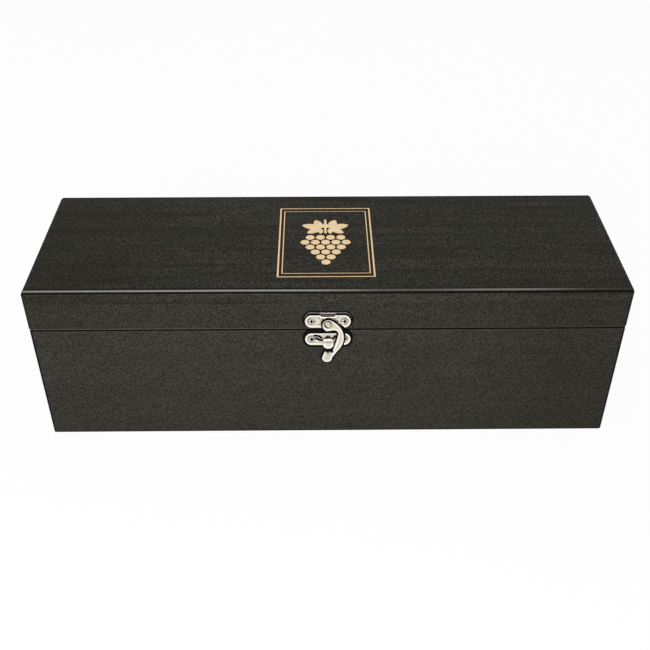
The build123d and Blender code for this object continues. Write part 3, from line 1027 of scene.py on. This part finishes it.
def keeper(nickel, side):
    """The tongue that the hook goes round."""
    bend_row = -8.0

    def height(points, distance):
        return stamped_height(points, distance, keeper_depth * MM)

    def shade_marks(points, distance, to_hole):
        """Painted shade in a band a little above the middle, and more of it above that than below.
        """
        up = points[:, 1] - at(0, bend_row)[1]
        bend = 0.45 * np.exp(-(up / (0.35 * MM)) ** 2)
        painted_light_share = 0.6 * stamped_shade(points, distance, to_hole)
        return painted_light_share + 0.16 * np.clip(up / MM + 1, 0, 1) + bend

    pressed_sheet(
        "pressed_keeper", widened(keeper_outline(), pan_margin * MM), [],
        box_front - keeper_stand * MM,
        height, shade_marks, evenly(0.25), (nickel, side), "base",
    )


def edge_shade_margin(points):
    """How far the hook's outline is let out to carry a band of painted shade, which is less beside
    the keeper.
    """
    keeper_middle = at(keeper_column, -8.3)
    from_keeper = np.hypot(*(points - keeper_middle).T)
    return 0.7 * MM + 0.3 * np.clip(from_keeper - 4.5 * MM, 0, 1 * MM)


def hook(nickel, side):
    """The horn-shaped hook, with a bump on its tip, and painted shade in the notch above it, in a
    ring round the rivet and a little over its field.
    """
    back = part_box("clasp_hook")[1].y
    loops = flat_loops("clasp_hook", 1, back)
    tip = pivot + np.array([-0.5, -24.8]) * MM
    notch = pivot + np.array([0.1, -22.0]) * MM

    def height(points, distance):
        rim = rounded_rim(distance, 1.1 * MM, 1.2 * MM, 0.55 * MM)
        field = np.clip((distance - 1.5 * MM) / (0.5 * MM), 0, 1)
        return rim - 0.12 * MM * field + mounds(points, [(*tip, 1.9 * MM, 0.25 * MM)])

    def shade_marks(points, distance, to_hole):
        from_pivot = np.hypot(*(points - pivot).T)
        round_rivet = 0.55 * np.exp(-((from_pivot - 2.45 * MM) / (0.3 * MM)) ** 2)
        marks = mounds(points, [(*notch, 0.9 * MM, 0.7)])
        field = 0.24 * np.clip((distance - 1.8 * MM) / (0.4 * MM), 0, 1)
        return np.clip(field + round_rivet + marks, 0, 1)

    def edge_shade_width(points):
        return edge_shade_margin(points) + 0.16 * MM

    pressed_sheet(
        "pressed_hook", widened(loops[0], edge_shade_margin(loops[0])), loops[1:], back,
        height, shade_marks, edge_shade_width, (nickel, side), "hook", "clasp_hook",
    )


def screws():
    """The plate's screws and the catch's, which have more painted shade on them."""
    rows = (("clasp_plate_screws", plate_row, 0.55), ("clasp_catch_screws", catch_row, 0.85))
    for node, row, shade_radius in rows:
        shade_mask = screw_shade(row, shade_radius)
        dress(node, plated_metal(node + "_nickel", cream, cream_shade, 0.2, 0.05 * MM, shade_mask))


def clasp():
    nickel, sides = pressed_nickel(), side_nickels()
    plate_outline, catch_outline = pan_outline("clasp_plate"), pan_outline("clasp_catch")
    plate(plate_outline, nickel, sides["plate"])
    flange(plate_outline[:, 1].max(), sides["plate"])
    catch(catch_outline, nickel, sides["catch"])
    plate_shadows(plate_outline, catch_outline)
    keeper(nickel, sides["keeper"])
    hook(nickel, sides["hook"])
    dress("clasp_rivet", rivet_nickel())
    screws()


# The engraving


def engraved_floor(bottom, bared):
    """The bottom of the lid's recesses, raised to where the bare wood shows."""
    form = bmesh.new()
    form.from_mesh(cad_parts["lid_top_panel"].data)
    gone = [
        face for face in form.faces
        if any(abs(vertex.co.z - bottom) > in_plane_within for vertex in face.verts)
    ]
    bmesh.ops.delete(form, geom=gone, context="FACES")
    for vertex in form.verts:
        vertex.co.z = bared
    add_piece("engraved_floor", form, [bare_wood("bare_wood")], "lid")


def scorched_edge(loops, bared):
    """The burned edge of each recess, and the burned band between the border's two lines."""
    form = bmesh.new()
    low, high = bared + 0.01 * MM, lid_surface + 0.02 * MM
    corners, faces = spread_triangles([loops[1], loops[2]])
    between = [form.verts.new((x, y, high)) for x, y in corners]
    for face in faces:
        form.faces.new([between[place] for place in face])
    # In millimetres away from the recess: where the burn starts on its floor and where it
    # ends on the lid, for the border's four outlines and then for each of the bunch
    reaches = [(-0.05, 0.4), (-0.05, 0.0), (-0.14, 0.0), (-0.14, 0.4)]
    reaches += [(-0.12, 0.5)] * (len(loops) - len(reaches))
    wall = -0.02
    for loop, (inner, outer) in zip(loops, reaches):
        side = 1 if loop_area(loop) > 0 else -1
        rings = []
        for out, height in ((inner, low), (wall, low), (wall, high), (outer, high)):
            moved = widened(loop, side * out * MM)
            rings.append([form.verts.new((x, y, height)) for x, y in moved])
        join_rings(form, rings)
    bmesh.ops.recalc_face_normals(form, faces=form.faces)
    add_piece("scorched_edge", form, [scorched_wood("scorched_wood")], "lid")


def engraving():
    bottom, bared = lid_surface - recess_depth * MM, lid_surface - bared_depth * MM
    loops = flat_loops("lid_top_panel", 2, bottom)
    engraved_floor(bottom, bared)
    scorched_edge(loops, bared)


# Felt in the cradles


def rounded_section(width, thickness, corner):
    """A flat rectangle with round corners, as places sideways and outwards."""
    section = []
    for quarter, (across, outwards) in enumerate(((1, 1), (-1, 1), (-1, -1), (1, -1))):
        centre_x = across * (width / 2 - corner)
        centre_r = outwards * (thickness / 2 - corner)
        for step in range(5):
            turn = radians(90 * quarter + step * 22.5)
            section.append((centre_x + corner * cos(turn), centre_r + corner * sin(turn)))
    return section


def felt_strip(cradle, radius, half_turn):
    """A strip of felt bent round a cradle's notch."""
    node = cradle + "_felt"
    low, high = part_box(node)
    middle_x, width = (low.x + high.x) / 2, high.x - low.x
    axis_height = low.z + radius + felt_seat_to_middle * MM
    section = rounded_section(width, felt_thickness * MM, 0.45 * MM)
    form = bmesh.new()
    rings = []
    count = 72
    for place in range(count + 1):
        turn = -half_turn + 2 * half_turn * place / count
        ring = []
        for x, out in section:
            reach = radius + out
            y, z = reach * sin(turn), axis_height - reach * cos(turn)
            ring.append(form.verts.new((middle_x + x, y, z)))
        rings.append(ring)
    join_rings(form, rings)
    form.faces.new(rings[0][::-1])
    form.faces.new(rings[-1])
    bmesh.ops.recalc_face_normals(form, faces=form.faces)
    for face in form.faces:
        face.smooth = len(face.verts) == 4
    fabric = felt_fabric(cradle + "_felt_fabric")
    strip = add_piece(cradle + "_felt_strip", form, [fabric], "base", node)


def felts():
    """The body's felt ends at its cradle's top, and the neck's goes half round."""
    body_half_turn = acos(body_cradle_below_axis / body_felt_radius)
    felt_strip("body_cradle", body_felt_radius * MM, body_half_turn)
    felt_strip("neck_cradle", neck_felt_radius * MM, pi / 2)


floor()
surroundings(strength=0.50)
softbox(
    "overhead", place=(-0.28, 0.17, 1.30), target=(0.0, 0.0, 0.1),
    width=0.8, height=0.35, power=2.9,
)
softbox(
    "front_fill", place=(-0.14, -0.66, 0.36), target=(-0.02, 0.0, 0.06),
    width=0.4, height=0.3, power=4.1,
)
camera()
dress_boards()
dress_metal()
clasp()
engraving()
felts()

bpy.context.scene.view_settings.view_transform = "Standard"
